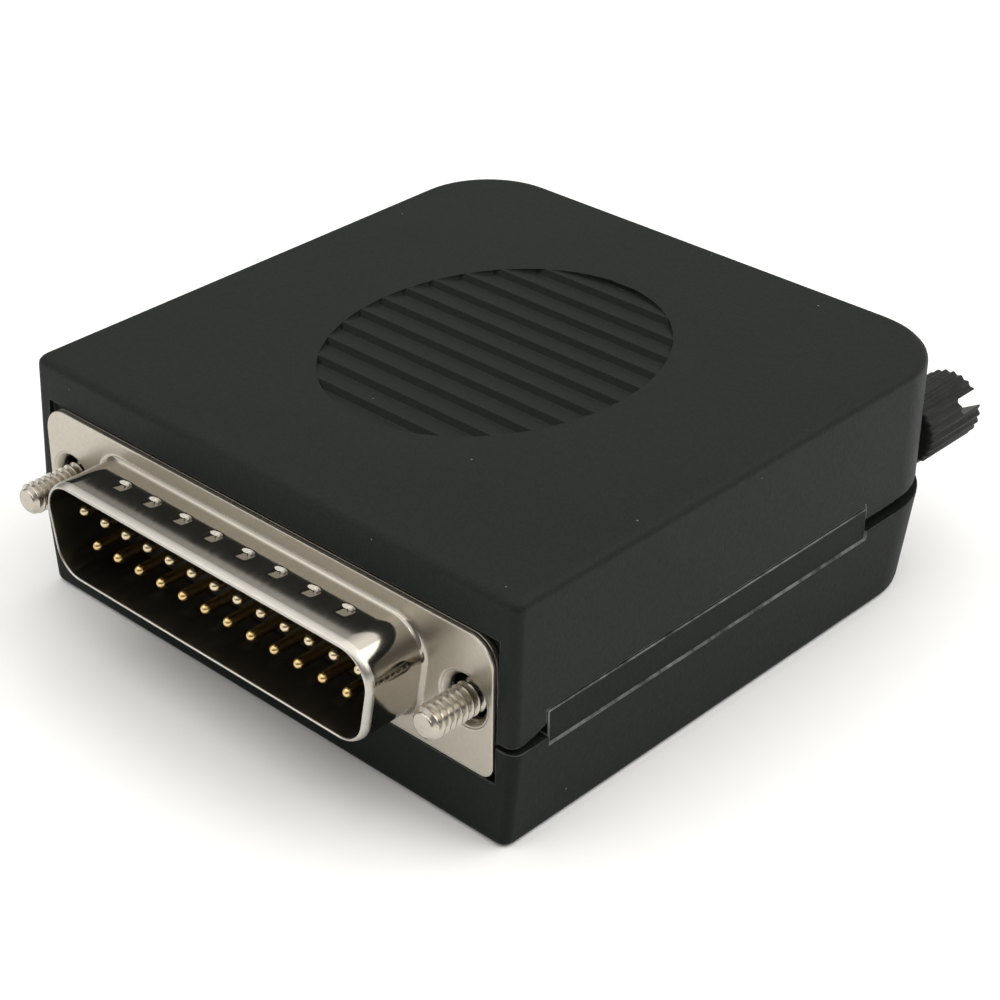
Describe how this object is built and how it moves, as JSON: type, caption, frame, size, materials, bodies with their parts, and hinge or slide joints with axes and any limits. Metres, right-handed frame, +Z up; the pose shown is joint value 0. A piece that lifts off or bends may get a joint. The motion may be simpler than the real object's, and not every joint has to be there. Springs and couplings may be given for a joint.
{
  "type": "d-sub connector",
  "caption": "Male D-subminiature plug in a black two-shell hood, with a nickel D shroud, gold pins and long knurled jackscrews that slide and turn.",
  "frame": {"origin": "centre of the connector flange's front face", "axes": "+X along the pin rows, +Y from the flange back into the hood, +Z up"},
  "size_m": [0.0574, 0.0698, 0.0225],
  "materials": {
    "hood_black": "fine matt moulded texture",
    "nickel": "satin nickel plate",
    "insulator": "glass-filled moulded plastic",
    "gold": "gold flash",
    "screw_nickel": "nickel-plated steel",
    "knob_black": "moulded plastic"
  },
  "bodies": {
    "housing": {"upper_shell": "hood_black", "lower_shell": "hood_black", "front_shell": "nickel", "rear_shell": "nickel", "front_insulator": "insulator", "rear_insulator": "insulator", "pin_01": "gold", "pin_02": "gold", "pin_03": "gold", "pin_04": "gold", "pin_05": "gold", "pin_06": "gold", "pin_07": "gold", "pin_08": "gold", "pin_09": "gold", "pin_10": "gold", "pin_11": "gold", "pin_12": "gold", "pin_13": "gold", "pin_14": "gold", "pin_15": "gold", "pin_16": "gold", "pin_17": "gold", "pin_18": "gold", "pin_19": "gold", "pin_20": "gold", "pin_21": "gold", "pin_22": "gold", "pin_23": "gold", "pin_24": "gold", "pin_25": "gold"},
    "left_stop": {"left_clip": "screw_nickel"},
    "right_stop": {"right_clip": "screw_nickel"},
    "left_screw": {"left_jackscrew": "screw_nickel", "left_knob": "knob_black"},
    "right_screw": {"right_jackscrew": "screw_nickel", "right_knob": "knob_black"}
  },
  "joints": [
    {"name": "left_slide", "type": "slide", "parent": "housing", "child": "left_stop", "axis": [0, -1, 0], "range_m": [-0.0041, 0.0004]},
    {"name": "left_turn", "type": "hinge", "parent": "left_stop", "child": "left_screw", "pos_m": [-0.02352, 0, -0.00015], "axis": [0, 1, 0], "continuous": true},
    {"name": "right_slide", "type": "slide", "parent": "housing", "child": "right_stop", "axis": [0, -1, 0], "range_m": [-0.0035, 0.001]},
    {"name": "right_turn", "type": "hinge", "parent": "right_stop", "child": "right_screw", "pos_m": [0.02352, 0, -0.00015], "axis": [0, 1, 0], "continuous": true}
  ]
}
